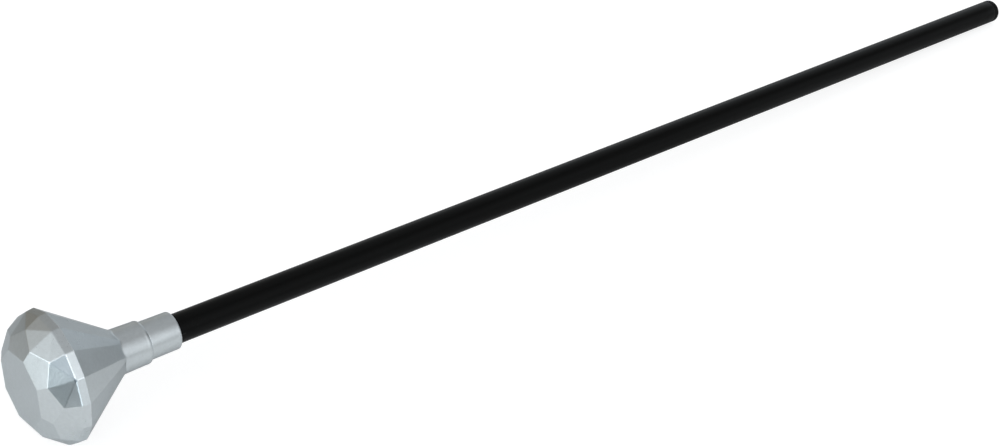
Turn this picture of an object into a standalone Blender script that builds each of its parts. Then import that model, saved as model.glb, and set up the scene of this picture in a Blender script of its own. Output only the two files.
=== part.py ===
"""Stage wand with a diamond-shaped head on a long black tube.

The wand lies along +X, from the flat table of the diamond at the origin to its tip, with +Z up.
Every sub-part is modelled upright, with its own +Z along the wand, and hangs on one empty that lays it down.
"""

from math import cos, pi, radians, sin

import bmesh
import bpy

MM = 0.001

# Gaps
GAP = 0.3 * MM  # between neighbouring pieces that don't move
FIT_GAP = 0.25 * MM  # radial, round a push fit

# Diamond head: distances from the table plane along the wand, and corner radii
CORNERS = 16
STEP = 2 * pi / CORNERS
FIRST_CORNER = STEP / 2  # a flat of the girdle faces straight down
TABLE_R = 25.4 * MM
SIDE_R = 32.6 * MM
APEX_R = 38.4 * MM
APEX_X = 8.9 * MM
GIRDLE_FRONT_R = 43.8 * MM
GIRDLE_FRONT_X = 18.2 * MM
GIRDLE_R = 44.5 * MM
GIRDLE_X = 23.4 * MM
PAVILION_SLOPE = 0.718  # loss of radius for each unit towards the neck
RIDGE_SKEW = 3.3 * MM  # how far every second ridge has swung sideways at the neck
SHELL = 2.0 * MM

# Screw boss and locating lip inside the crown
BOSS_ROOT_R = 6.5 * MM
BOSS_TOP_R = 5.2 * MM
LIP_R = 39.6 * MM
LIP_WALL = 1.6 * MM
LIP_REACH = 2.0 * MM  # past the girdle's rear plane
LIP_ROOT_R = 42.3 * MM
LIP_ROOT_BACK = 0.6 * MM  # ahead of the girdle's rear plane
LIP_ROOT_FRONT = 2.8 * MM

# Neck and the socket inside it
NECK_START_R = 15.1 * MM
NECK_FOOT_X = 58.4 * MM  # inside the cone
NECK_END_R = 14.6 * MM
NECK_END_X = 84.4 * MM
SOCKET_R = 12.75 * MM
SOCKET_END_X = 44.0 * MM
SOCKET_WALL = 2.0 * MM
SOCKET_CHAMFER = 0.4 * MM
BULKHEAD = 3.0 * MM
CONE_END_R = 13.45 * MM  # where the flats end, inside the neck's wall
CONE_ROWS = 4

# Ferrule
FERRULE_R = 13.0 * MM
FERRULE_END_R = 12.8 * MM
FERRULE_END_X = 106.6 * MM
SPIGOT_START_X = 52.0 * MM
SPIGOT_WALL = 3.0 * MM
EDGE_ROUND = 1.2 * MM
LEAD = 1.0 * MM  # chamfer on the end of everything that is pushed in

# Shaft
TUBE_R = 10.0 * MM
TUBE_WALL = 1.5 * MM
TUBE_EDGE = 0.25 * MM
TUBE_ROWS = 8
LENGTH = 983.0 * MM
DOWEL_LENGTH = 36.0 * MM

# End plug
CAP_HEAD = 5.6 * MM
CAP_ROUND = 1.9 * MM
CAP_SPIGOT = 15.0 * MM
CAP_EDGE = 0.2 * MM
CAP_WALL = 1.8 * MM
CAP_FACE = 1.5 * MM  # of the head that the hollow leaves behind the seam
CAP_RIBS = 3
RIB_FIRST = 0.8  # of the pitch, from the head to the first rib
RIB_RISE = 0.9 * MM
RIB_BACK = 0.4 * MM
RIB_FRONT = 1.6 * MM

# Self-tapping screws: head radius, head height, thread radius, length under the head
CROWN_SCREW = (3.8 * MM, 2.4 * MM, 2.0 * MM, 24.0 * MM)
FERRULE_SCREW = (3.4 * MM, 2.2 * MM, 1.75 * MM, 22.0 * MM)
THREAD_PITCH = 2.0 * MM
THREAD_DEPTH = 0.45 * MM
THREAD_CLEARANCE = 0.1 * MM
THREAD_HALF = 0.5 * MM
THREAD_START = 0.75  # of the pitch, under the head
THREAD_RUNOUT = 3.0 * MM  # bare shank at the point
SCREW_POINT = 2.2 * MM
PAN_ROUND = 0.8 * MM
SLOT_REACH = 0.62  # of the head's radius
SLOT_DEPTH = 0.62  # of the head's height
SLOT_HALF = 0.45 * MM
SLOT_TAPER = 0.7

FINE = 48  # facets round the large turned pieces
MEDIUM = 40  # facets round the dowel
SMALL = 16  # facets round screws and their holes
SOFT_EDGE = 12  # degrees below which the cone is shaded as round
CUT = 1.0 * MM  # how far a cutter runs past the face it opens

SILVER = (0.60, 0.63, 0.65, 1.0)
BLACK = (0.012, 0.012, 0.013, 1.0)
CAP_BLACK = (0.018, 0.018, 0.020, 1.0)
BEECH = (0.55, 0.38, 0.22, 1.0)
ZINC = (0.66, 0.67, 0.66, 1.0)

EVENS = range(0, CORNERS, 2)
ODDS = range(1, CORNERS, 2)
ALL = range(CORNERS)
CROWN_LEVELS = (EVENS, EVENS, ODDS, ALL, ALL)  # corners of the table, sides, apexes, girdle's front and rear


def clear_scene():
    for item in list(bpy.data.objects):
        bpy.data.objects.remove(item)


def new_collection(name):
    collection = bpy.data.collections.new(name)
    bpy.context.scene.collection.children.link(collection)
    return collection


def new_material(name, colour, roughness, metallic):
    material = bpy.data.materials.new(name)
    material.use_nodes = True
    shader = material.node_tree.nodes["Principled BSDF"]
    shader.inputs["Base Color"].default_value = colour
    shader.inputs["Roughness"].default_value = roughness
    shader.inputs["Metallic"].default_value = metallic
    return material


def new_empty(name, collection, parent=None):
    empty = bpy.data.objects.new(name, None)
    empty.parent = parent
    collection.objects.link(empty)
    return empty


def add_object(name, mesh, home, material=None):
    """An object for the mesh in home, a (collection, parent) pair. A cutter has no material."""
    collection, parent = home
    item = bpy.data.objects.new(name, mesh)
    item.parent = parent
    if material:
        mesh.materials.append(material)
    else:
        item.hide_render = True
        item.display_type = "WIRE"
    collection.objects.link(item)
    return item


def combine(item, other, operation):
    boolean = item.modifiers.new(other.name, "BOOLEAN")
    boolean.object = other
    boolean.operation = operation
    boolean.solver = "EXACT"


# Turned shapes: profiles are (radius, height) points


def arc(centre_r, centre_z, radius, start, end, count=4):
    """Points on a circle in the profile plane, from angle start to end in degrees, 0 pointing outwards."""
    points = []
    for i in range(count + 1):
        angle = radians(start + (end - start) * i / count)
        points.append((centre_r + radius * cos(angle), centre_z + radius * sin(angle)))
    return points


def turned(name, profile, home, material=None, segments=FINE, closed=False):
    """A body of revolution about local Z. The profile runs down the outer side, from top to bottom."""
    mesh = bpy.data.meshes.new(name)
    count = len(profile)
    edges = [(i, i + 1) for i in range(count - 1)]
    if closed:
        edges.append((count - 1, 0))
    mesh.from_pydata([(r, 0.0, z) for r, z in profile], edges, [])
    item = add_object(name, mesh, home, material)
    screw = item.modifiers.new("turn", "SCREW")
    screw.steps = segments
    screw.render_steps = segments
    screw.use_merge_vertices = True
    screw.merge_threshold = 0.00001
    screw.use_smooth_shade = True
    return item


# Faceted head


def ring_point(index, radius, height, sideways=0.0):
    """A corner at this index round the axis, moved sideways along the ring's tangent."""
    angle = FIRST_CORNER + index * STEP
    x = radius * cos(angle) - sideways * sin(angle)
    y = radius * sin(angle) + sideways * cos(angle)
    return (x, y, height)


def side_height():
    """Height of the bezel facets' side corners, which keeps each five-sided facet flat."""
    across = cos(STEP)
    rise = APEX_X / (APEX_R - TABLE_R * across)
    return (SIDE_R - TABLE_R) * across * rise


def crown_profile():
    return [
        (TABLE_R, 0.0),
        (SIDE_R, side_height()),
        (APEX_R, APEX_X),
        (GIRDLE_FRONT_R, GIRDLE_FRONT_X),
        (GIRDLE_R, GIRDLE_X),
    ]


def inset(profile, distance):
    """The profile moved inwards, to the left of its own direction, by a wall's thickness."""
    moved = []
    for i, (r, z) in enumerate(profile):
        before = profile[max(i - 1, 0)]
        after = profile[min(i + 1, len(profile) - 1)]
        along_r = after[0] - before[0]
        along_z = after[1] - before[1]
        length = (along_r**2 + along_z**2) ** 0.5
        moved.append((r - distance * along_z / length, z + distance * along_r / length))
    return moved


def crown_solid(name, profile, rear, home, material=None):
    """Closed crown: flat table, eight bezel facets, thirty-two triangles and a girdle of sixteen flats."""
    bm = bmesh.new()
    rings = profile[:-1] + [(profile[-1][0], rear)]
    levels = []
    for (radius, height), corners in zip(rings, CROWN_LEVELS):
        levels.append({k: bm.verts.new(ring_point(k, radius, height)) for k in corners})
    table, side, apex, front, back = levels
    bm.faces.new([table[k] for k in EVENS])
    bm.faces.new([back[k] for k in ALL])
    for k in EVENS:
        up, down, far = (k + 1) % CORNERS, (k - 1) % CORNERS, (k + 2) % CORNERS
        bm.faces.new([table[k], side[k], apex[up], side[far], table[far]])
        bm.faces.new([apex[down], front[k], side[k]])
        bm.faces.new([side[k], front[k], apex[up]])
        bm.faces.new([apex[up], front[k], front[up]])
        bm.faces.new([apex[up], front[up], front[far]])
    for k in ALL:
        after = (k + 1) % CORNERS
        bm.faces.new([front[k], back[k], back[after], front[after]])
    return finish_faceted(name, bm, home, material)


def pavilion_cone(name, start, end, home, material):
    """Closed cone of sixteen flats between two (radius, height) rings, with every second ridge skewed."""
    bm = bmesh.new()
    rings = []
    for row in range(CONE_ROWS + 1):
        share = row / CONE_ROWS
        radius = start[0] + (end[0] - start[0]) * share
        height = start[1] + (end[1] - start[1]) * share
        ring = []
        for k in ALL:
            sideways = RIDGE_SKEW * share * (1 - k % 2)
            ring.append(bm.verts.new(ring_point(k, radius, height, sideways)))
        rings.append(ring)
    for lower, upper in zip(rings, rings[1:]):
        for k in ALL:
            after = (k + 1) % CORNERS
            bm.faces.new([lower[k], lower[after], upper[after], upper[k]])
    bm.faces.new(rings[0])
    bm.faces.new(rings[-1])
    return finish_faceted(name, bm, home, material)


def finish_faceted(name, bm, home, material):
    bmesh.ops.recalc_face_normals(bm, faces=bm.faces)
    mesh = bpy.data.meshes.new(name)
    bm.to_mesh(mesh)
    bm.free()
    return add_object(name, mesh, home, material)


def crown_shell(home, cutters, material):
    """Front half of the head: thin faceted shell, central screw boss and a locating lip at the rear."""
    rear = GIRDLE_X - GAP / 2
    shell = crown_solid("crown_shell", crown_profile(), rear, home, material)
    hollow = inset(crown_profile(), SHELL)
    combine(shell, crown_solid("crown_hollow", hollow, GIRDLE_X + CUT, cutters), "DIFFERENCE")
    combine(shell, crown_boss(cutters), "UNION")
    combine(shell, crown_lip(cutters), "UNION")
    combine(shell, crown_pilot_hole(cutters), "DIFFERENCE")


def boss_end():
    return SOCKET_END_X - BULKHEAD - GAP


def crown_boss(home):
    root = SHELL / 2
    profile = [(0.0, boss_end()), (BOSS_TOP_R, boss_end()), (BOSS_ROOT_R, root), (0.0, root)]
    return turned("crown_boss", profile, home, segments=SMALL)


def crown_lip(home):
    """Ring that centres the two halves of the head on each other."""
    inner = LIP_R - LIP_WALL
    front = GIRDLE_X - LIP_ROOT_FRONT
    step = GIRDLE_X - LIP_ROOT_BACK
    back = GIRDLE_X + LIP_REACH
    profile = [(LIP_R, back), (LIP_R, step), (LIP_ROOT_R, step)]
    profile += [(LIP_ROOT_R, front), (inner, front), (inner, back)]
    return turned("crown_lip", profile, home, closed=True)


def crown_pilot_hole(home):
    radius = CROWN_SCREW[2] + THREAD_CLEARANCE
    bottom = SOCKET_END_X - CROWN_SCREW[3] - CUT
    top = boss_end() + CUT
    profile = [(0.0, top), (radius, top), (radius, bottom), (0.0, bottom)]
    return turned("crown_pilot_hole", profile, home, segments=SMALL)


def pavilion_shell(home, cutters, material):
    """Rear half of the head: faceted cone, round neck and the socket that takes the ferrule."""
    start = (GIRDLE_R, GIRDLE_X + GAP / 2)
    end = (CONE_END_R, GIRDLE_X + (GIRDLE_R - CONE_END_R) / PAVILION_SLOPE)
    shell = pavilion_cone("pavilion_shell", start, end, home, material)
    combine(shell, neck_blank(cutters), "UNION")
    combine(shell, pavilion_hollow(cutters), "DIFFERENCE")
    combine(shell, socket_bore(cutters), "DIFFERENCE")
    shell.data.shade_smooth()
    shell.data.set_sharp_from_angle(angle=radians(SOFT_EDGE))


def neck_blank(home):
    """Solid round neck, from inside the cone to its rounded end."""
    profile = [(0.0, NECK_END_X)]
    profile += arc(NECK_END_R - EDGE_ROUND, NECK_END_X - EDGE_ROUND, EDGE_ROUND, 90, 0)
    profile += [(NECK_START_R, NECK_FOOT_X), (0.0, NECK_FOOT_X)]
    return turned("neck_blank", profile, home)


def pavilion_hollow(home):
    """The space between the cone's wall and the socket's sleeve, open to the crown."""
    sleeve = SOCKET_R + SOCKET_WALL
    sleeve_start = SOCKET_END_X - BULKHEAD
    narrowest = cos(1.5 * STEP / 2)  # a skewed flat comes this much closer to the axis than its corners
    front_r = GIRDLE_R * cos(STEP / 2) - SHELL
    reach = (GIRDLE_R * narrowest - SHELL - sleeve) / (PAVILION_SLOPE * narrowest)
    end = GIRDLE_X + reach
    ahead = GIRDLE_X - CUT
    profile = [(sleeve, end), (front_r, GIRDLE_X), (front_r, ahead), (0.0, ahead)]
    profile += [(0.0, sleeve_start), (sleeve, sleeve_start)]
    return turned("pavilion_hollow", profile, home, closed=True)


def socket_bore(home):
    """The ferrule's socket, and the screw hole through the bulkhead at its end."""
    hole = CROWN_SCREW[2] + GAP
    mouth = NECK_END_X + CUT
    front = SOCKET_END_X - BULKHEAD - CUT
    profile = [(0.0, mouth), (SOCKET_R + SOCKET_CHAMFER + CUT, mouth), (SOCKET_R, NECK_END_X - SOCKET_CHAMFER)]
    profile += [(SOCKET_R, SOCKET_END_X), (hole, SOCKET_END_X), (hole, front), (0.0, front)]
    return turned("socket_bore", profile, home)


# Shaft


def ferrule(home, material):
    """Sleeve between tube and head: a spigot that the neck slides over, a shoulder and a visible collar."""
    spigot = SOCKET_R - FIT_GAP
    bore = TUBE_R + GAP / 2
    shoulder = NECK_END_X + GAP
    screw_hole = FERRULE_SCREW[2] + GAP
    profile = arc(FERRULE_END_R - EDGE_ROUND, FERRULE_END_X - EDGE_ROUND, EDGE_ROUND, 90, 0)
    profile += [(FERRULE_R, shoulder + GAP), (FERRULE_R - GAP, shoulder), (spigot, shoulder)]
    profile += [(spigot, SPIGOT_START_X + LEAD), (spigot - LEAD, SPIGOT_START_X)]
    profile += [(screw_hole, SPIGOT_START_X), (screw_hole, SPIGOT_START_X + SPIGOT_WALL)]
    profile += [(bore, SPIGOT_START_X + SPIGOT_WALL), (bore, FERRULE_END_X)]
    return turned("ferrule", profile, home, material, closed=True)


def tube_start():
    return SPIGOT_START_X + SPIGOT_WALL + GAP


def tube_end():
    return LENGTH - CAP_HEAD - GAP / 2


def shaft_tube(home, material):
    """Plain tube with lightly broken edges."""
    bore = TUBE_R - TUBE_WALL
    top = tube_end() - TUBE_EDGE
    bottom = tube_start() + TUBE_EDGE
    profile = [(TUBE_R - TUBE_EDGE, tube_end())]
    for row in range(TUBE_ROWS + 1):
        profile.append((TUBE_R, top + (bottom - top) * row / TUBE_ROWS))
    profile += [(TUBE_R - TUBE_EDGE, tube_start()), (bore, tube_start()), (bore, tube_end())]
    return turned("shaft_tube", profile, home, material, closed=True)


def shaft_dowel(home, material):
    """Wooden plug that stiffens the tube's head end and takes the ferrule's screw."""
    radius = TUBE_R - TUBE_WALL - FIT_GAP
    bottom = tube_start()
    top = bottom + DOWEL_LENGTH
    hole = FERRULE_SCREW[2] + THREAD_CLEARANCE
    hole_top = SPIGOT_START_X + FERRULE_SCREW[3] + CUT
    profile = [(0.0, top), (radius - LEAD, top), (radius, top - LEAD)]
    profile += [(radius, bottom + LEAD), (radius - LEAD, bottom)]
    profile += [(hole, bottom), (hole, hole_top), (0.0, hole_top)]
    return turned("shaft_dowel", profile, home, material, segments=MEDIUM)


def tip_cap(home, material):
    """Plug in the far end of the tube: a head as wide as the tube and a ribbed hollow spigot."""
    bore = TUBE_R - TUBE_WALL
    core = bore - RIB_RISE
    rib = bore - FIT_GAP
    hollow = core - CAP_WALL
    head_start = LENGTH - CAP_HEAD + GAP / 2
    face = head_start + CAP_FACE
    bottom = head_start - CAP_SPIGOT
    pitch = CAP_SPIGOT / (CAP_RIBS + 1)
    profile = [(0.0, LENGTH)]
    profile += arc(TUBE_R - CAP_ROUND, LENGTH - CAP_ROUND, CAP_ROUND, 90, 0, 6)
    profile += [(TUBE_R, head_start + CAP_EDGE), (TUBE_R - CAP_EDGE, head_start), (core, head_start)]
    for i in range(CAP_RIBS):
        peak = head_start - pitch * (i + RIB_FIRST)
        profile += [(core, peak + RIB_BACK), (rib, peak), (core, peak - RIB_FRONT)]
    profile += [(core, bottom + LEAD), (core - LEAD, bottom), (hollow, bottom), (hollow, face), (0.0, face)]
    return turned("tip_cap", profile, home, material)


# Fasteners


def self_tapping_screw(name, size, seat, direction, home, cutters, material):
    """Pan-head screw with ring-shaped threads and a cross slot. direction is +1 for a point towards the tip."""
    head_r, head_h, thread_r, length = size
    root_r = thread_r - THREAD_DEPTH
    profile = [(0.0, head_h), (head_r - PAN_ROUND, head_h)]
    profile += arc(head_r - PAN_ROUND, head_h - PAN_ROUND, PAN_ROUND, 60, 0, 2)
    profile += [(head_r, 0.0), (root_r, 0.0)]
    for i in range(int((length - THREAD_RUNOUT) / THREAD_PITCH)):
        z = -THREAD_PITCH * (i + THREAD_START)
        profile += [(root_r, z + THREAD_HALF), (thread_r, z), (root_r, z - THREAD_HALF)]
    profile += [(root_r, -length + SCREW_POINT), (0.0, -length)]
    screw = turned(name, profile, home, material, segments=SMALL)
    slot = cross_slot(name + "_slot", head_r, head_h, cutters)
    combine(screw, slot, "DIFFERENCE")
    for item in (screw, slot):
        item.location.z = seat
        item.rotation_euler.x = pi if direction > 0 else 0.0


def cross_slot(name, head_r, head_h, home):
    """A cross-shaped cutter that narrows towards its bottom."""
    bm = bmesh.new()
    arm = head_r * SLOT_REACH
    floor = head_h * (1 - SLOT_DEPTH)
    outline = []
    for quarter in range(4):
        turn = quarter * pi / 2
        for x, y in ((SLOT_HALF, -SLOT_HALF), (arm, -SLOT_HALF), (arm, SLOT_HALF)):
            outline.append((x * cos(turn) - y * sin(turn), x * sin(turn) + y * cos(turn)))
    top = [bm.verts.new((x, y, head_h + CUT)) for x, y in outline]
    bottom = [bm.verts.new((x * SLOT_TAPER, y * SLOT_TAPER, floor)) for x, y in outline]
    bm.faces.new(top)
    bm.faces.new(bottom)
    for i in range(len(outline)):
        after = (i + 1) % len(outline)
        bm.faces.new([bottom[i], bottom[after], top[after], top[i]])
    return finish_faceted(name, bm, home, None)


def build():
    clear_scene()
    parts = new_collection("diamond_wand")
    cutters = new_collection("cutters")
    wand = new_empty("wand_axis", parts)
    wand.rotation_euler.y = pi / 2
    head = (parts, new_empty("head_body", parts, wand))
    shaft = (parts, new_empty("shaft_body", parts, wand))
    tip = (parts, new_empty("tip_body", parts, wand))
    tools = (cutters, wand)
    silver = new_material("silver_paint", SILVER, 0.32, 0.7)
    black = new_material("black_tube", BLACK, 0.38, 0.0)
    cap_black = new_material("black_cap", CAP_BLACK, 0.5, 0.0)
    beech = new_material("beech", BEECH, 0.7, 0.0)
    zinc = new_material("zinc_plate", ZINC, 0.3, 1.0)
    crown_shell(head, tools, silver)
    pavilion_shell(head, tools, silver)
    self_tapping_screw("crown_screw", CROWN_SCREW, SOCKET_END_X + THREAD_CLEARANCE, -1, head, tools, zinc)
    ferrule(shaft, silver)
    ferrule_seat = SPIGOT_START_X - THREAD_CLEARANCE
    self_tapping_screw("ferrule_screw", FERRULE_SCREW, ferrule_seat, 1, shaft, tools, zinc)
    shaft_dowel(shaft, beech)
    shaft_tube(shaft, black)
    tip_cap(tip, cap_black)


build()
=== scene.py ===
from math import atan, atan2, ceil, cos, exp, hypot, pi, radians, sin, tan

import bmesh
import bpy
from mathutils import Matrix, Vector


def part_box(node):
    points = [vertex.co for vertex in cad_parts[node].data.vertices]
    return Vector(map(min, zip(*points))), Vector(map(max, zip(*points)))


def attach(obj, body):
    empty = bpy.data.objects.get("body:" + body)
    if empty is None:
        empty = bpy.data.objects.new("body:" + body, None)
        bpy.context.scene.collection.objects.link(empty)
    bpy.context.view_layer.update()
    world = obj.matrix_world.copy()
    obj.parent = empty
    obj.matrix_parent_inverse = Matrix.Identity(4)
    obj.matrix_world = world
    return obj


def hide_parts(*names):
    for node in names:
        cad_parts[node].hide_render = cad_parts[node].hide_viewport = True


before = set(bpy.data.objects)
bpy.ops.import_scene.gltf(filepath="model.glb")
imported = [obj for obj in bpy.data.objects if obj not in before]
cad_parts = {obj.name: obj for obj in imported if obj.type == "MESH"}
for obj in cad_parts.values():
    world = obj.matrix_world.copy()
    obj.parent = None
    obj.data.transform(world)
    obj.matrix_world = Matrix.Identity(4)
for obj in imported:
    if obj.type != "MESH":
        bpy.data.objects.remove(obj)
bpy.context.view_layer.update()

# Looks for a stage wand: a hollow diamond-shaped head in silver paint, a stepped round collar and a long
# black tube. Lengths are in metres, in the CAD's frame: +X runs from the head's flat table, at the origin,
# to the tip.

MM = 0.001
SAME_PLACE = 0.001 * MM  # corners closer than this are one corner
ON_AXIS = 0.0001 * MM

# Faceted head: radii and places of its corners, from the table back to the girdle
CORNERS = 16
STEP = 2 * pi / CORNERS
FIRST_CORNER = STEP / 2
TABLE_R = 25.4 * MM
SIDE_R = 32.6 * MM
APEX_R = 38.4 * MM
APEX_X = 8.9 * MM
GIRDLE_FRONT_R = 43.8 * MM
GIRDLE_FRONT_X = 18.2 * MM
GIRDLE_FLARE = 0.7 * MM  # how much wider the girdle is at its rear
PAVILION_SLOPE = 0.718
RIDGE_SKEW = 3.3 * MM  # how far every second ridge has swung sideways at the neck
RIDGE_END_R = 13.45 * MM
RIDGE_ROUND = 0.5 * MM
RIM_EDGE = 0.35 * MM
SHELL = 2.0 * MM
SEAM = 0.05 * MM  # hairline gap between the two halves of the head
LIP_R = 39.6 * MM
LIP_WALL = 1.6 * MM
BOSS_ROOT_R = 6.5 * MM
BOSS_END_R = 5.2 * MM
CROWN_HOLE_R = 2.1 * MM

# Rounding of the crown's edges, as a width and shares of it
FACET_EDGE = 0.65 * MM
GIRDLE_SHARE = 1.0
FACET_SHARE = 0.65
SEAM_SHARE = 0.1

# Neck, ferrule, tube and plug
NECK_START_R = 15.1 * MM
NECK_END_R = 14.6 * MM
FOLD_FILLET = 0.45 * MM
EDGE_ROUND = 1.2 * MM
SOCKET_R = 12.75 * MM
SOCKET_WALL = 2.0 * MM
BULKHEAD = 3.0 * MM
FERRULE_END_R = 12.8 * MM
SPIGOT_R = 12.5 * MM
SPIGOT_WALL = 3.0 * MM
TUBE_BORE = 8.5 * MM
CAP_ROUND = 1.9 * MM
CAP_HEAD = 5.6 * MM
PITCH = 2.0 * MM  # of both screws' threads
STEP_GAP = 0.12 * MM  # open line between the neck and the ferrule's shoulder
RIM_BEAD = 0.07 * MM

FLOOR_HALF = 12.0

# Soft pools of light on the floor: centre on the floor, radius of the bright core and radius where it ends
POOLS = [
    ((-0.22, -0.12, 0.0), 0.2, 1.0),
    ((0.78, -0.38, 0.0), 0.2, 0.5),
    ((0.42, 0.36, 0.0), 0.0, 0.4),
]


# Meshes


def link_mesh(name, bm, material, smooth=True):
    bmesh.ops.recalc_face_normals(bm, faces=bm.faces)
    mesh = bpy.data.meshes.new(name)
    bm.to_mesh(mesh)
    bm.free()
    if smooth:
        mesh.shade_smooth()
    piece = bpy.data.objects.new(name, mesh)
    bpy.context.scene.collection.objects.link(piece)
    piece.data.materials.append(material)
    return piece


def around(x, radius, angle):
    """A point at this angle round the wand, where 0 is straight down and the angle grows towards +Y."""
    return Vector((x, radius * sin(angle), -radius * cos(angle)))


def arc(centre_x, centre_r, radius, start, end, count=6):
    """Profile points (x, radius) on a circle. Angle 0 points towards the tip and 90 away from the axis."""
    points = []
    for i in range(count + 1):
        angle = radians(start + (end - start) * i / count)
        points.append((centre_x + radius * cos(angle), centre_r + radius * sin(angle)))
    return points


def spread(profile, longest, closed=False):
    """The profile with extra points, so that no stretch is longer than longest."""
    points = []
    ends = profile[1:] + profile[:1] if closed else profile[1:]
    for (x0, r0), (x1, r1) in zip(profile, ends):
        count = max(1, ceil(hypot(x1 - x0, r1 - r0) / longest))
        for i in range(count):
            points.append((x0 + (x1 - x0) * i / count, r0 + (r1 - r0) * i / count))
    if not closed:
        points.append(profile[-1])
    return points


def skin(bm, rings, closed):
    """Quads between rings of vertices. A ring of one vertex is a point on the axis."""
    pairs = list(zip(rings, rings[1:]))
    if closed:
        pairs.append((rings[-1], rings[0]))
    for ring, other in pairs:
        count = max(len(ring), len(other))
        for i in range(count):
            j = (i + 1) % count
            if len(ring) == 1:
                bm.faces.new([ring[0], other[i], other[j]])
            elif len(other) == 1:
                bm.faces.new([ring[i], ring[j], other[0]])
            else:
                bm.faces.new([ring[i], ring[j], other[j], other[i]])


def turned(name, profile, material, columns=128, closed=False, dent=None):
    """A body of revolution about the wand's axis. dent(x, radius, angle) is how far it is pushed in there."""
    bm = bmesh.new()
    rings = []
    for x, radius in profile:
        if radius < ON_AXIS:
            rings.append([bm.verts.new((x, 0.0, 0.0))])
            continue
        ring = []
        for i in range(columns):
            angle = 2 * pi * i / columns
            depth = dent(x, radius, angle) if dent else 0.0
            ring.append(bm.verts.new(around(x, radius - depth, angle)))
        rings.append(ring)
    skin(bm, rings, closed)
    return link_mesh(name, bm, material)


def boolean(piece, other, operation):
    modifier = piece.modifiers.new(other.name, "BOOLEAN")
    modifier.object = other
    modifier.operation = operation
    modifier.solver = "EXACT"


def apply_modifiers(piece, *helpers):
    """Bakes the piece's modifiers into its mesh and removes the helpers they used."""
    graph = bpy.context.evaluated_depsgraph_get()
    baked = bpy.data.meshes.new_from_object(piece.evaluated_get(graph))
    piece.modifiers.clear()
    piece.data = baked
    for helper in helpers:
        bpy.data.objects.remove(helper)


def drop_slivers(piece):
    """Merges corners that the booleans left almost on top of each other."""
    bm = bmesh.new()
    bm.from_mesh(piece.data)
    bmesh.ops.dissolve_degenerate(bm, dist=SAME_PLACE, edges=bm.edges)
    bm.to_mesh(piece.data)
    bm.free()


def dimple(x, angle, here_x, here_angle, radius, half_x, half_s, depth):
    """Depth, at one point, of a shallow oval dent centred at (x, angle), with half axes half_x and half_s."""
    turn = (here_angle - angle + pi) % (2 * pi) - pi
    away = hypot((here_x - x) / half_x, radius * turn / half_s)
    if away >= 1:
        return 0.0
    return depth * (1 - away * away) ** 2


# Head


def crown_profile(rear):
    """The crown's five levels of corners as (x, radius), from the table to the girdle's rear."""
    across = cos(STEP)
    side_x = (SIDE_R - TABLE_R) * across * APEX_X / (APEX_R - TABLE_R * across)
    girdle = [(GIRDLE_FRONT_X, GIRDLE_FRONT_R), (rear, GIRDLE_FRONT_R + GIRDLE_FLARE)]
    return [(0.0, TABLE_R), (side_x, SIDE_R), (APEX_X, APEX_R)] + girdle


def inset(profile, distance):
    """The profile moved inwards by a wall's thickness."""
    moved = []
    for i, (x, r) in enumerate(profile):
        x0, r0 = profile[max(i - 1, 0)]
        x1, r1 = profile[min(i + 1, len(profile) - 1)]
        length = hypot(x1 - x0, r1 - r0)
        moved.append((x + distance * (r1 - r0) / length, r - distance * (x1 - x0) / length))
    return moved


def crown_skin(bm, profile):
    """The crown's facets on five levels of corners, open at the rear. Returns the rear corners."""
    levels = []
    evens, odds, every = range(0, CORNERS, 2), range(1, CORNERS, 2), range(CORNERS)
    for (x, radius), corners in zip(profile, (evens, evens, odds, every, every)):
        levels.append({k: bm.verts.new(around(x, radius, FIRST_CORNER + k * STEP)) for k in corners})
    table, side, apex, front, back = levels
    bm.faces.new([table[k] for k in evens])
    for k in evens:
        up, down, far = (k + 1) % CORNERS, (k - 1) % CORNERS, (k + 2) % CORNERS
        bm.faces.new([table[k], side[k], apex[up], side[far], table[far]])
        bm.faces.new([apex[down], front[k], side[k]])
        bm.faces.new([side[k], front[k], apex[up]])
        bm.faces.new([apex[up], front[k], front[up]])
        bm.faces.new([apex[up], front[up], front[far]])
    for k in every:
        after = (k + 1) % CORNERS
        bm.faces.new([front[k], back[k], back[after], front[after]])
    return [back[k] for k in every]


def rounding_share(edge, rear):
    """How strongly a crown edge is rounded: hardly at the seam, and most at the girdle's front corners."""
    places = [corner.co.x for corner in edge.verts]
    farthest = max(corner.co.yz.length for corner in edge.verts)
    if min(places) > rear - SEAM:
        return SEAM_SHARE
    if max(places) > GIRDLE_FRONT_X - SEAM and farthest > GIRDLE_FRONT_R - SEAM:
        return GIRDLE_SHARE
    return FACET_SHARE


def make_crown(material):
    """Front half of the head: softly rounded facets, a screw boss behind the table and a lip at the rear."""
    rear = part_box("pavilion_shell")[0].x - SEAM * 2
    bm = bmesh.new()
    outer = crown_profile(rear)
    inner = inset(outer, SHELL)
    inner[-1] = (rear, inner[-1][1])
    rims = (crown_skin(bm, outer), crown_skin(bm, inner))
    for k in range(CORNERS):
        after = (k + 1) % CORNERS
        bm.faces.new([rims[0][k], rims[0][after], rims[1][after], rims[1][k]])
    weights = bm.edges.layers.float.new("bevel_weight_edge")
    for edge in bm.edges:
        edge[weights] = rounding_share(edge, rear)
    crown = link_mesh("head_crown", bm, material)
    bevel = crown.modifiers.new("edges", "BEVEL")
    bevel.width = FACET_EDGE
    bevel.segments = 3
    bevel.limit_method = "WEIGHT"
    boss = crown_boss(material)
    lip = crown_lip(rear, material)
    hole = crown_hole(material)
    boolean(crown, boss, "UNION")
    boolean(crown, lip, "UNION")
    boolean(crown, hole, "DIFFERENCE")
    apply_modifiers(crown, boss, lip, hole)
    drop_slivers(crown)
    weighted = crown.modifiers.new("flat_facets", "WEIGHTED_NORMAL")
    weighted.weight = 100
    weighted.keep_sharp = True
    apply_modifiers(crown)
    return crown


def boss_end():
    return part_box("crown_shell")[1].x


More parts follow.
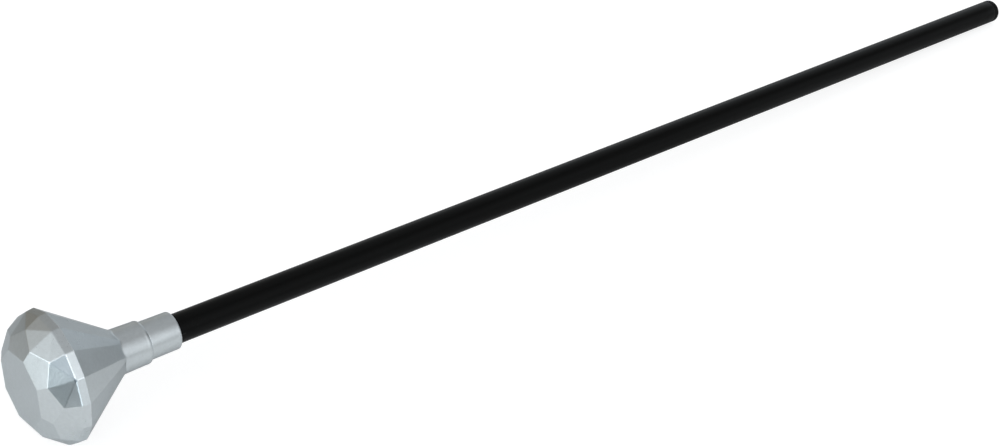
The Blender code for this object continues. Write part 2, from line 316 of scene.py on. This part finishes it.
def crown_boss(material):
    """Solid post behind the table that takes the screw."""
    chamfer = 0.3 * MM
    profile = [(SHELL / 2, 0.0), (SHELL / 2, BOSS_ROOT_R), (boss_end() - chamfer, BOSS_END_R)]
    profile += [(boss_end(), BOSS_END_R - chamfer), (boss_end(), 0.0)]
    return turned("crown_boss", spread(profile, 3 * MM), material, 48)


def crown_lip(rear, material):
    """Ring behind the girdle that centres the two halves of the head on each other."""
    front = rear - 2.8 * MM
    step = rear - 0.6 * MM
    back = rear + 2.0 * MM
    root = LIP_R + 2.7 * MM
    chamfer = 0.3 * MM
    profile = [(back, LIP_R - chamfer), (back - chamfer, LIP_R), (step, LIP_R), (step, root)]
    profile += [(front, root), (front, LIP_R - LIP_WALL), (back, LIP_R - LIP_WALL)]
    return turned("crown_lip", spread(profile, 2 * MM, True), material, 96, True)


def crown_hole(material):
    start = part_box("crown_screw")[0].x - 1 * MM
    end = boss_end() + 1 * MM
    profile = [(start, 0.0), (start, CROWN_HOLE_R), (end, CROWN_HOLE_R), (end, 0.0)]
    return turned("crown_hole", profile, material, 48)


def ridge_corner(index, x, front, girdle):
    """A ridge of the rear cone where it crosses the plane at x, as (y, z)."""
    share = (x - front) * PAVILION_SLOPE / (girdle - RIDGE_END_R)
    radius = girdle + (RIDGE_END_R - girdle) * share
    sideways = RIDGE_SKEW * share * (1 - index % 2)
    angle = FIRST_CORNER + index * STEP
    return Vector((radius * sin(angle) + sideways * cos(angle), -radius * cos(angle) + sideways * sin(angle)))


def flat_section(x, front, girdle, inner_count=6):
    """One cross-section of the sixteen-sided cone, with its ridges rounded on each side."""
    soft = RIDGE_ROUND
    stations = [0.0, 0.12, 0.3, 0.6, 1.0]
    corners = [ridge_corner(k, x, front, girdle) for k in range(CORNERS)]
    points = []
    for k, corner in enumerate(corners):
        before = corners[k - 1]
        after = corners[(k + 1) % CORNERS]
        along = after - corner
        length = along.length
        along.normalize()
        bend = along.angle((corner - before).normalized())
        next_bend = (corners[(k + 2) % CORNERS] - after).angle(along)
        near = [soft * s for s in stations]
        far = [length - soft * s for s in reversed(stations[1:])]
        middle = [soft + (length - 2 * soft) * (i + 1) / (inner_count + 1) for i in range(inner_count)]
        for s in near + middle + far:
            point = corner + along * s
            if s < soft:
                point -= corner.normalized() * tan(bend / 2) * (soft - s) ** 2 / (2 * soft)
            elif length - s < soft:
                point -= after.normalized() * tan(next_bend / 2) * (soft - length + s) ** 2 / (2 * soft)
            points.append(point)
    return points


def soft_max(a, b, width):
    """The larger of two radii, with a fillet about this wide where they cross."""
    overlap = max(width - abs(a - b), 0.0)
    return max(a, b) + overlap * overlap / (4 * width)


def neck_radius(x, fold, end):
    """Radius of the tapering neck, with a low bead near its end."""
    share = min(max((x - fold) / (end - fold), 0.0), 1.0)
    bead = RIM_BEAD * exp(-(((end - 1.9 * MM - x) / (0.5 * MM)) ** 2))
    return NECK_START_R + (NECK_END_R - NECK_START_R) * share + bead


def neck_dent(x, radius, angle):
    """A small pressed dent in the neck, on the side that faces the camera."""
    return dimple(76.6 * MM, radians(259), x, angle, radius, 1.7 * MM, 1.0 * MM, 0.22 * MM)


def pavilion_dent(x, radius, angle):
    """A tiny pit in one upper flat of the cone."""
    return dimple(47.5 * MM, radians(207), x, angle, radius, 0.7 * MM, 0.6 * MM, 0.2 * MM)


def make_pavilion(material):
    """Rear half of the head: sixteen-sided cone, round neck and the socket inside, as one closed skin."""
    low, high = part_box("pavilion_shell")
    front, end = low.x, high.x
    girdle = high.y / cos(STEP / 2)
    fold = front + (girdle - NECK_START_R) / PAVILION_SLOPE
    bm = bmesh.new()
    rings = []
    for x, drop in pavilion_stations(front, fold, end):
        ring = []
        last_flat = fold + 1.2 * MM
        for point in flat_section(min(x, last_flat), front, girdle):
            angle = atan2(point.x, -point.y)
            radius = point.length
            if x > fold - 4 * MM:
                falling = radius - max(x - last_flat, 0.0) * PAVILION_SLOPE
                radius = soft_max(falling, neck_radius(x, fold, end), FOLD_FILLET)
            radius -= drop + neck_dent(x, radius, angle) + pavilion_dent(x, radius, angle)
            ring.append(bm.verts.new(around(x, radius, angle)))
        rings.append(ring)
    angles = [atan2(v.co.y, -v.co.z) for v in rings[-1]]
    for x, radius in pavilion_inside(front, end, girdle):
        rings.append([bm.verts.new(around(x, radius, angle)) for angle in angles])
    skin(bm, rings, True)
    return link_mesh("head_pavilion", bm, material)


def pavilion_stations(front, fold, end):
    """Where the outer skin's rings lie, as (x, how far the ring is drawn in to round the rim)."""
    rise = 0.125 * RIM_EDGE
    rim = [(front - SEAM, 0.06 * MM + rise), (front - SEAM + 0.04 * MM, rise)]
    rim += [(front + RIM_EDGE * s, rise * (1 - s) ** 3) for s in (0.2, 0.4, 0.6, 0.8, 1.0)]
    cone = spread([(front + RIM_EDGE, 0.0), (fold - 3 * MM, 0.0)], 2.2 * MM)[1:]
    near_fold = spread([(fold - 2.8 * MM, 0.0), (fold + 3 * MM, 0.0)], 0.3 * MM)
    neck = spread([(fold + 3.4 * MM, 0.0), (end - EDGE_ROUND, 0.0)], 0.4 * MM)
    return rim + cone + near_fold + neck


def pavilion_inside(front, end, girdle):
    """Profile from the neck's rounded end, down the socket and back along the cone's inner wall."""
    screw_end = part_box("crown_screw")[1].x
    socket_end = screw_end - 2.5 * MM
    sleeve = SOCKET_R + SOCKET_WALL
    hole = 2.3 * MM
    narrowest = cos(1.5 * STEP / 2)
    wall_r = girdle * cos(STEP / 2) - SHELL
    reach = (girdle * narrowest - SHELL - sleeve) / (PAVILION_SLOPE * narrowest)
    profile = arc(end - EDGE_ROUND, NECK_END_R - EDGE_ROUND, EDGE_ROUND, 90, 0, 8)[1:]
    profile += [(end, SOCKET_R + 0.4 * MM), (end - 0.4 * MM, SOCKET_R)]
    profile += [(socket_end, SOCKET_R), (socket_end, hole), (socket_end - BULKHEAD, hole)]
    profile += [(socket_end - BULKHEAD, sleeve), (front + reach, sleeve), (front - SEAM, wall_r)]
    return spread(profile, 3 * MM)


# Collar and shaft


def ferrule_nick(x, radius, angle):
    """A small nick on the top of the ferrule."""
    return dimple(95.9 * MM, radians(177), x, angle, radius, 0.8 * MM, 0.7 * MM, 0.25 * MM)


def make_ferrule(material):
    """Sleeve on the tube's end, with a shoulder against the neck and a hollow spigot inside the neck."""
    low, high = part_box("ferrule")
    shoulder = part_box("pavilion_shell")[1].x + STEP_GAP
    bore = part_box("shaft_tube")[1].y + 0.12 * MM
    hole = 2.05 * MM
    corner = 0.05 * MM
    edge = 0.3 * MM
    profile = [(low.x, hole), (low.x, SPIGOT_R - 1.0 * MM), (low.x + 0.3 * MM, SPIGOT_R - 0.3 * MM)]
    profile += [(low.x + 1.0 * MM, SPIGOT_R), (shoulder - corner, SPIGOT_R), (shoulder, SPIGOT_R + corner)]
    profile += [(shoulder, high.y - edge), (shoulder + edge / 3, high.y - edge / 3)]
    profile += [(shoulder + edge, high.y)]
    outside = [(shoulder + 0.6 * MM, high.y), (high.x - EDGE_ROUND - 0.2 * MM, FERRULE_END_R)]
    profile += spread(outside, 0.5 * MM)
    profile += arc(high.x - EDGE_ROUND, FERRULE_END_R - EDGE_ROUND, EDGE_ROUND, 90, 0, 8)
    profile += [(high.x, bore + 0.25 * MM), (high.x - 0.25 * MM, bore)]
    profile += [(low.x + SPIGOT_WALL, bore), (low.x + SPIGOT_WALL, hole)]
    return turned("collar_ferrule", spread(profile, 4 * MM, True), material, 192, True, ferrule_nick)


def make_tube(material):
    """The long tube, open at both ends, with a small round on each edge."""
    low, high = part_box("shaft_tube")
    edge = 0.3 * MM
    profile = [(low.x, TUBE_BORE + edge), (low.x, high.y - edge)]
    profile += arc(low.x + edge, high.y - edge, edge, 180, 90, 4)[1:]
    profile += arc(high.x - edge, high.y - edge, edge, 90, 0, 4)
    profile += [(high.x, TUBE_BORE + edge), (high.x - edge, TUBE_BORE), (low.x + edge, TUBE_BORE)]
    return turned("black_tube", spread(profile, 12 * MM, True), material, 144, True)


def make_cap(material):
    """End plug: a rounded head as wide as the tube, and a hollow spigot with three grip ribs."""
    low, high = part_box("tip_cap")
    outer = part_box("shaft_tube")[1].y
    head = high.x - CAP_HEAD + 0.1 * MM
    core = TUBE_BORE - 0.9 * MM
    rib = TUBE_BORE - 0.2 * MM
    profile = [(high.x, 0.0)]
    profile += arc(high.x - CAP_ROUND, outer - CAP_ROUND, CAP_ROUND, 0, 90, 10)
    profile += [(head + 0.25 * MM, outer), (head + 0.08 * MM, outer - 0.08 * MM)]
    profile += [(head, outer - 0.25 * MM), (head, core)]
    pitch = (head - low.x) / 4
    for i in range(3):
        peak = head - pitch * (i + 0.8)
        profile += [(peak + 0.5 * MM, core), (peak + 0.1 * MM, rib)]
        profile += [(peak - 0.1 * MM, rib), (peak - 1.6 * MM, core)]
    hollow = core - 1.8 * MM
    profile += [(low.x + 1.0 * MM, core), (low.x, core - 0.8 * MM), (low.x, hollow + 0.2 * MM)]
    profile += [(low.x + 0.2 * MM, hollow), (head + 1.2 * MM, hollow), (head + 1.5 * MM, hollow - 0.3 * MM)]
    profile += [(head + 1.5 * MM, 0.0)]
    return turned("end_plug", spread(profile, 1.5 * MM), material, 144)


def make_dowel(material):
    """Turned wooden plug with chamfered ends and a blind pilot hole for the screw."""
    low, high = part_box("shaft_dowel")
    hole_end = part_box("ferrule_screw")[1].x + 1 * MM
    hole = 1.85 * MM
    chamfer = 1.0 * MM
    profile = [(low.x, hole), (low.x, high.y - chamfer), (low.x + chamfer, high.y)]
    profile += [(high.x - chamfer, high.y), (high.x, high.y - chamfer), (high.x, 0.0)]
    profile = [(hole_end, 0.0), (hole_end - 0.8 * MM, hole)] + profile
    return turned("beech_dowel", spread(profile, 2 * MM), material, 96)


def screw_head(head_r, head_h, root_r):
    """Profile of a pan head whose underside is at x = 0."""
    flat = 0.72
    profile = [(-head_h, head_r * 0.35), (-head_h, head_r * flat)]
    for s in (0.25, 0.5, 0.75, 1.0):
        profile.append((-head_h * (1 - s * s * 0.9), head_r * (flat + (1 - flat) * sin(s * pi / 2))))
    return profile + [(0.0, head_r), (0.0, root_r)]


def thread_radius(x, turn, length, root_r, crest_r):
    """Radius of the threaded shank at x, where turn is the share of a turn round it."""
    phase = (x / PITCH - turn) % 1.0
    height = max(0.0, 1 - abs(phase - 0.5) * 3.2)
    fade = min(1.0, x / PITCH, (length - x) / (2 * PITCH))
    taper = min(1.0, (length - x) / (1.6 * PITCH)) ** 0.5
    return root_r * taper + (crest_r - root_r) * height * fade


def make_screw(name, node, towards_tip, material):
    """A pan-head self-tapping screw with a real helical thread and a cross slot."""
    low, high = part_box(node)
    head_r = high.y
    head_h = 0.63 * head_r
    crest_r = 0.52 * head_r
    root_r = crest_r - 0.45 * MM
    length = high.x - low.x - head_h
    bm = bmesh.new()
    columns = 48
    rings = [[bm.verts.new((-head_h, 0, 0))]]
    for x, radius in screw_head(head_r, head_h, root_r):
        rings.append([bm.verts.new(around(x, radius, 2 * pi * i / columns)) for i in range(columns)])
    rows = int(length / (PITCH / 8))
    for row in range(1, rows):
        x = length * row / rows
        ring = []
        for i in range(columns):
            radius = thread_radius(x, i / columns, length, root_r, crest_r)
            ring.append(bm.verts.new(around(x, radius, 2 * pi * i / columns)))
        rings.append(ring)
    rings.append([bm.verts.new((length, 0, 0))])
    skin(bm, rings, False)
    screw = link_mesh(name, bm, material)
    slot = cross_slot(head_r, head_h, material)
    boolean(screw, slot, "DIFFERENCE")
    apply_modifiers(screw, slot)
    if towards_tip:
        screw.data.transform(Matrix.Translation((low.x + head_h, 0, 0)))
    else:
        screw.data.transform(Matrix.Translation((high.x - head_h, 0, 0)) @ Matrix.Rotation(pi, 4, "Z"))
    screw.data.set_sharp_from_angle(angle=radians(38))
    return screw


def cross_slot(head_r, head_h, material):
    """Cutter for a tapering cross slot in a screw's head."""
    bm = bmesh.new()
    arm = head_r * 0.62
    half = 0.45 * MM
    outline = []
    for quarter in range(4):
        turn = quarter * pi / 2
        for y, z in ((half, -half), (arm, -half), (arm, half)):
            outline.append((y * cos(turn) - z * sin(turn), y * sin(turn) + z * cos(turn)))
    top = [bm.verts.new((-head_h - MM, y, z)) for y, z in outline]
    bottom = [bm.verts.new((-head_h * 0.38, y * 0.7, z * 0.7)) for y, z in outline]
    bm.faces.new(top)
    bm.faces.new(bottom)
    for i in range(len(outline)):
        after = (i + 1) % len(outline)
        bm.faces.new([bottom[i], bottom[after], top[after], top[i]])
    return link_mesh("slot_cutter", bm, material, smooth=False)


# Materials


class Nodes:
    """A node tree under construction, with one short call for each node."""

    def __init__(self, tree, coordinates):
        self.tree = tree
        self.place = self.node("TexCoord").outputs[coordinates]

    def node(self, kind, inputs=None, **settings):
        made = self.tree.nodes.new("ShaderNode" + kind)
        for key, value in settings.items():
            setattr(made, key, value)
        for key, value in (inputs or {}).items():
            self.put(made.inputs[key], value)
        return made

    def put(self, socket, value):
        if isinstance(value, bpy.types.NodeSocket):
            self.tree.links.new(value, socket)
        else:
            socket.default_value = value

    def math(self, operation, a, b=0.0):
        return self.node("Math", {0: a, 1: b}, operation=operation).outputs[0]

    def remap(self, value, low, high, to_low, to_high, curve="LINEAR"):
        inputs = {"Value": value, "From Min": low, "From Max": high, "To Min": to_low, "To Max": to_high}
        return self.node("MapRange", inputs, interpolation_type=curve).outputs["Result"]

    def grey(self, value, tint=(1.0, 1.0, 1.0)):
        channels = {i: self.math("MULTIPLY", value, share) for i, share in enumerate(tint)}
        return self.node("CombineColor", channels).outputs["Color"]

    def mix(self, share, a, b, blend="MIX"):
        made = self.node("Mix", data_type="RGBA", blend_type=blend)
        self.put(made.inputs[0], share)
        self.put(made.inputs[6], a)
        self.put(made.inputs[7], b)
        return made.outputs[2]


class Paint(Nodes):
    """A surface material on a Principled shader."""

    def __init__(self, name):
        self.material = bpy.data.materials.new(name)
        self.material.use_nodes = True
        super().__init__(self.material.node_tree, "Object")
        self.surface = self.tree.nodes["Principled BSDF"]

    def set(self, **inputs):
        for key, value in inputs.items():
            self.put(self.surface.inputs[key.replace("_", " ")], value)

    def stretched(self, scale):
        return self.node("Mapping", {"Vector": self.place, "Scale": scale}).outputs["Vector"]

    def noise(self, scale, detail=2.0, roughness=0.5, vector=None):
        inputs = {"Vector": vector or self.place, "Scale": scale, "Detail": detail, "Roughness": roughness}
        return self.node("TexNoise", inputs).outputs["Fac"]

    def bump(self, height, strength, distance, below=None):
        inputs = {"Height": height, "Strength": strength, "Distance": distance}
        if below:
            inputs["Normal"] = below
        return self.node("Bump", inputs).outputs["Normal"]

    def edge_mask(self, radius):
        """1 on edges that stick out, fading to 0 about a radius away on the flats."""
        rounded = self.node("Bevel", {"Radius": radius}, samples=4).outputs["Normal"]
        true = self.node("NewGeometry").outputs["Normal"]
        aligned = self.node("VectorMath", {0: rounded, 1: true}, operation="DOT_PRODUCT").outputs["Value"]
        return self.remap(aligned, 0.995, 0.93, 0.0, 1.0)

    def crevice_mask(self, distance):
        """1 deep in a crevice, 0 in the open."""
        open_share = self.node("AmbientOcclusion", {"Distance": distance}, samples=6).outputs["AO"]
        return self.remap(open_share, 0.75, 0.3, 0.0, 1.0)


def silver_paint():
    """Metallic silver paint on moulded plastic: fine flake, soft orange peel, edges lighter from rubbed paint
    and a painted highlight, and painted shade in the corners.
    """
    s = Paint("silver_paint")
    grain = s.noise(900.0, 3.0, 0.65)
    clouds = s.noise(55.0, 3.0, 0.55)
    mottle = s.noise(430.0, 4.0, 0.6)
    fine_tone = s.remap(grain, 0.25, 0.75, 0.975, 1.025)
    tone = s.math("MULTIPLY", fine_tone, s.remap(clouds, 0.3, 0.7, 0.98, 1.015))
    tone = s.math("MULTIPLY", tone, s.remap(mottle, 0.3, 0.7, 0.965, 1.035))
    base = s.grey(tone, (0.474, 0.507, 0.521))
    # Lighter edges: partly rubbed paint, partly a painted highlight along them.
    rubbed_and_highlit = s.math("MULTIPLY", s.edge_mask(0.6 * MM), s.remap(s.noise(380.0, 4.0), 0.35, 0.6, 0.25, 0.7))
    base = s.mix(rubbed_and_highlit, base, (0.72, 0.75, 0.77, 1.0))
    # Painted shade: darker deep in the crevices and corners, through the occlusion mask.
    base = s.mix(s.math("MULTIPLY", s.crevice_mask(1.5 * MM), 0.15), base, (0.20, 0.21, 0.21, 1.0))
    dull = s.remap(s.noise(35.0, 4.0, 0.6), 0.3, 0.7, 0.28, 0.32)
    rough = s.math("ADD", dull, s.remap(grain, 0.3, 0.7, -0.02, 0.02))
    peel = s.bump(s.noise(200.0, 2.0), 0.45, 0.1 * MM)
    flake = s.bump(grain, 0.65, 0.1 * MM, peel)
    wavy = s.bump(s.noise(70.0, 1.0), 0.2, 0.5 * MM, flake)
    s.set(Base_Color=base, Metallic=1.0, Roughness=rough, Normal=wavy)
    s.set(Specular_Tint=(0.56, 0.57, 0.58, 1.0))
    return s.material


def black_plastic(name, level, roughness, streaks):
    """Extruded or moulded black plastic: lengthwise draw lines, light scuffs and a trace of dust.

    Its reflection fades out at grazing angles, as it does in the photo.
    """
    s = Paint(name)
    lines = s.noise(1.0, 3.0, 0.6, s.stretched((5.0, 1400.0, 1400.0)))
    wide_lines = s.noise(1.0, 2.0, 0.5, s.stretched((2.0, 330.0, 330.0)))
    speck = s.remap(s.noise(1700.0, 2.0, 0.7), 0.68, 0.78, 0.0, 1.0)
    scuff_line = s.noise(1.0, 4.0, 0.7, s.stretched((260.0, 900.0, 500.0)))
    scuff_area = s.remap(s.noise(14.0, 3.0), 0.56, 0.7, 0.0, 1.0)
    scuff = s.math("MULTIPLY", s.remap(scuff_line, 0.62, 0.7, 0.0, 1.0), scuff_area)
    base = s.grey(s.remap(wide_lines, 0.3, 0.7, 0.8 * level, 1.5 * level), (1.0, 1.04, 1.0))
    base = s.mix(s.math("MULTIPLY", scuff, 0.25), base, (0.045, 0.045, 0.045, 1.0))
    base = s.mix(s.math("MULTIPLY", speck, 0.08), base, (0.12, 0.12, 0.11, 1.0))
    # Painted highlight: the black is lighter along the edges.
    base = s.mix(s.math("MULTIPLY", s.edge_mask(0.5 * MM), 0.25), base, (0.05, 0.05, 0.05, 1.0))
    drawn_rough = s.remap(lines, 0.3, 0.7, roughness - 0.04, roughness + 0.05)
    rough = s.math("ADD", drawn_rough, s.math("MULTIPLY", scuff, 0.2))
    drawn = s.bump(lines, 0.5 * streaks, 0.03 * MM)
    waves = s.bump(wide_lines, 0.6 * streaks, 0.1 * MM, drawn)
    pits = s.bump(s.noise(2600.0, 2.0), 0.25, 0.03 * MM, waves)
    facing = s.node("LayerWeight", {"Blend": 0.5}).outputs["Facing"]
    shine = s.remap(facing, 0.6, 1.0, 0.06, 0.0)
    s.set(Base_Color=base, Roughness=rough, Normal=pits, Specular_IOR_Level=shine)
    return s.material


def beech():
    """Bare turned beech with short dark flecks along the grain."""
    s = Paint("beech")
    grain = s.noise(1.0, 5.0, 0.6, s.stretched((35.0, 500.0, 160.0)))
    fleck = s.remap(s.noise(1.0, 2.0, 0.5, s.stretched((420.0, 2400.0, 2400.0))), 0.62, 0.7, 0.0, 1.0)
    base = s.mix(s.remap(grain, 0.3, 0.7, 0.0, 1.0), (0.46, 0.29, 0.16, 1.0), (0.64, 0.45, 0.28, 1.0))
    base = s.mix(s.math("MULTIPLY", fleck, 0.5), base, (0.26, 0.13, 0.06, 1.0))
    rough = s.remap(grain, 0.3, 0.7, 0.6, 0.75)
    s.set(Base_Color=base, Roughness=rough, Normal=s.bump(grain, 0.4, 0.08 * MM))
    return s.material


def zinc_plate():
    """Bright zinc over steel, faintly yellow in patches, with tool marks and dulled edges."""
    s = Paint("zinc_plate")
    patch = s.noise(500.0, 3.0)
    base = s.mix(s.remap(patch, 0.35, 0.65, 0.0, 1.0), (0.62, 0.63, 0.63, 1.0), (0.66, 0.63, 0.54, 1.0))
    base = s.mix(s.math("MULTIPLY", s.edge_mask(0.2 * MM), 0.5), base, (0.80, 0.80, 0.79, 1.0))
    marks = s.noise(1.0, 3.0, 0.6, s.stretched((9000.0, 900.0, 900.0)))
    s.set(Base_Color=base, Metallic=1.0, Roughness=s.remap(marks, 0.3, 0.7, 0.24, 0.42))
    s.set(Normal=s.bump(marks, 0.3, 0.02 * MM))
    return s.material


def pale_floor():
    """White paper with soft pools of light on it, seen in reflections. To the camera it glows evenly."""
    s = Paint("pale_floor")
    seen = s.node("LightPath").outputs["Is Camera Ray"]
    tone = s.remap(s.noise(2.0, 3.0), 0.3, 0.7, 0.98, 1.02)
    pool = 0.0
    for centre, core, edge in POOLS:
        reach = s.node("VectorMath", {0: s.place, 1: centre}, operation="DISTANCE").outputs["Value"]
        pool = s.math("MAXIMUM", pool, s.remap(reach, core, edge, 1.0, 0.0, "SMOOTHSTEP"))
    reflected = s.mix(pool, (0.38, 0.38, 0.37, 1.0), (0.80, 0.80, 0.80, 1.0))
    base = s.mix(1.0, s.mix(seen, reflected, (0.30, 0.30, 0.30, 1.0)), s.grey(tone), "MULTIPLY")
    glow = s.math("MAXIMUM", s.math("MULTIPLY", pool, 0.28), s.math("MULTIPLY", seen, 0.78))
    s.set(Base_Color=base, Roughness=0.85, Emission_Color=(1.0, 1.0, 1.0, 1.0), Emission_Strength=glow)
    return s.material


# Stage


def make_floor(material):
    """A wide pale floor, tilted to touch the head's girdle and the tip, where the wand rests."""
    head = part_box("pavilion_shell")[0]
    tip = Vector((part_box("tip_cap")[1].x, 0.0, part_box("tip_cap")[0].z))
    slope = atan((tip.z - head.z) / (tip.x - head.x))
    bm = bmesh.new()
    bmesh.ops.create_grid(bm, x_segments=8, y_segments=8, size=FLOOR_HALF)
    floor = link_mesh("floor", bm, material)
    floor.rotation_euler.y = -slope
    floor.location = (head.x, 0.0, head.z)


def toward(azimuth, elevation):
    """Unit vector. Azimuth is measured from +X towards +Y, both angles in degrees."""
    turn, rise = radians(azimuth), radians(elevation)
    return Vector((cos(turn) * cos(rise), sin(turn) * cos(rise), sin(rise)))


def panel(name, azimuth, elevation, width, brightness, colour):
    """A round soft panel so far away that it lights the whole wand alike. width is its angle across."""
    data = bpy.data.lights.new(name, "SUN")
    data.angle = radians(width)
    data.energy = brightness * pi * sin(radians(width / 2)) ** 2
    data.color = colour
    light = bpy.data.objects.new(name, data)
    light.rotation_euler = toward(azimuth, elevation).to_track_quat("Z", "Y").to_euler()
    bpy.context.scene.collection.objects.link(light)


def sky_share(s, azimuth, elevation, core, fade):
    """1 in a round patch of sky, smoothly fading to 0 round it."""
    aim = tuple(toward(azimuth, elevation))
    aligned = s.node("VectorMath", {0: s.place, 1: aim}, operation="DOT_PRODUCT").outputs["Value"]
    return s.remap(aligned, cos(radians(core + fade)), cos(radians(core)), 0.0, 1.0, "SMOOTHSTEP")


def make_world():
    """An invented studio, set so that the tones of the facets come near the photo's.

    It is bright on the viewer's side, dimmer behind the wand. The ceiling, the window, the dark shape, the dim
    end and the two panels in make_lights began as a rounded fit to those tones, and the rest was set patch by
    patch. Each patch is its azimuth, elevation, the radius of its even core, the width of its fading edge, and
    the light that it adds or, below 0, takes away.
    """
    world = bpy.data.worlds.new("studio")
    world.use_nodes = True
    s = Nodes(world.node_tree, "Generated")
    patches = [
        (-178, 70, 0, 180, (0.58, 0.59, 0.60)),  # ceiling
        (-107, 20, 25, 40, (0.93, 0.95, 0.97)),  # window behind the camera
        (-127, 9, 20, 17, (-1.90, -1.64, -1.50)),  # dark shape below the camera
        (-113, 40, 4, 7, (3.4, 3.5, 3.6)),  # three lamps, the first right at the camera
        (-103, 2, 5, 8, (3.6, 3.8, 3.9)),
        (-82, 24, 2, 5, (4.0, 4.1, 4.2)),
        (-30, 8, 8, 20, (0.46, 0.49, 0.51)),  # pale screen on the right
        (102, 0, 20, 40, (0.02, -0.03, -0.10)),  # dim warm end of the room
        (104, 42, 10, 34, (-0.12, -0.12, -0.12)),  # shade above it
        (24, 0, 24, 26, (0.44, 0.49, 0.53)),  # pale wall beyond the tip
        (52, -4, 12, 18, (0.46, 0.47, 0.48)),  # and its brighter end
        (-14, 38, 10, 12, (-0.34, -0.36, -0.38)),  # dark corner above the tip
    ]
    total = (0.10, 0.10, 0.10)
    for azimuth, elevation, core, fade, colour in patches:
        share = sky_share(s, azimuth, elevation, core, fade)
        lit = s.node("VectorMath", {0: colour, "Scale": share}, operation="SCALE").outputs[0]
        total = s.node("VectorMath", {0: total, 1: lit}, operation="ADD").outputs[0]
    darkest = (0.0, 0.035, 0.04)
    total = s.node("VectorMath", {0: total, 1: darkest}, operation="MAXIMUM").outputs[0]
    s.put(world.node_tree.nodes["Background"].inputs["Color"], total)
    bpy.context.scene.world = world


def make_lights():
    make_world()
    panel("left_panel", -176, 19, 52, 1.80, (0.93, 1.0, 1.02))
    panel("upper_left_panel", 168, 40, 58, 0.34, (0.97, 1.0, 1.0))


def make_camera():
    """The photograph's viewpoint, from a fit to the head's corners and the tube's edges."""
    data = bpy.data.cameras.new("camera")
    data.lens = 63.7
    data.sensor_width = 36.0
    data.clip_start = 0.05
    camera = bpy.data.objects.new("camera", data)
    camera.location = (-0.367, -0.7721, 0.7246)
    heading = Matrix.Rotation(radians(-44.31), 3, "Z")
    tilt = Matrix.Rotation(radians(90 - 34.6), 3, "X")
    roll = Matrix.Rotation(radians(7.22), 3, "Z")
    camera.rotation_euler = (heading @ tilt @ roll).to_euler()
    bpy.context.scene.collection.objects.link(camera)
    bpy.context.scene.camera = camera


def place(piece, body, node):
    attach(piece, body)
    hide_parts(node)


def build():
    silver = silver_paint()
    black = black_plastic("black_tube", 0.0016, 0.32, 1.0)
    cap_black = black_plastic("black_cap", 0.0022, 0.42, 0.4)
    zinc = zinc_plate()
    place(make_crown(silver), "head", "crown_shell")
    place(make_pavilion(silver), "head", "pavilion_shell")
    place(make_screw("head_screw", "crown_screw", False, zinc), "head", "crown_screw")
    place(make_ferrule(silver), "shaft", "ferrule")
    place(make_screw("collar_screw", "ferrule_screw", True, zinc), "shaft", "ferrule_screw")
    place(make_dowel(beech()), "shaft", "shaft_dowel")
    place(make_tube(black), "shaft", "shaft_tube")
    place(make_cap(cap_black), "tip", "tip_cap")
    make_floor(pale_floor())
    make_lights()
    make_camera()
    bpy.context.scene.view_settings.view_transform = "Standard"


build()
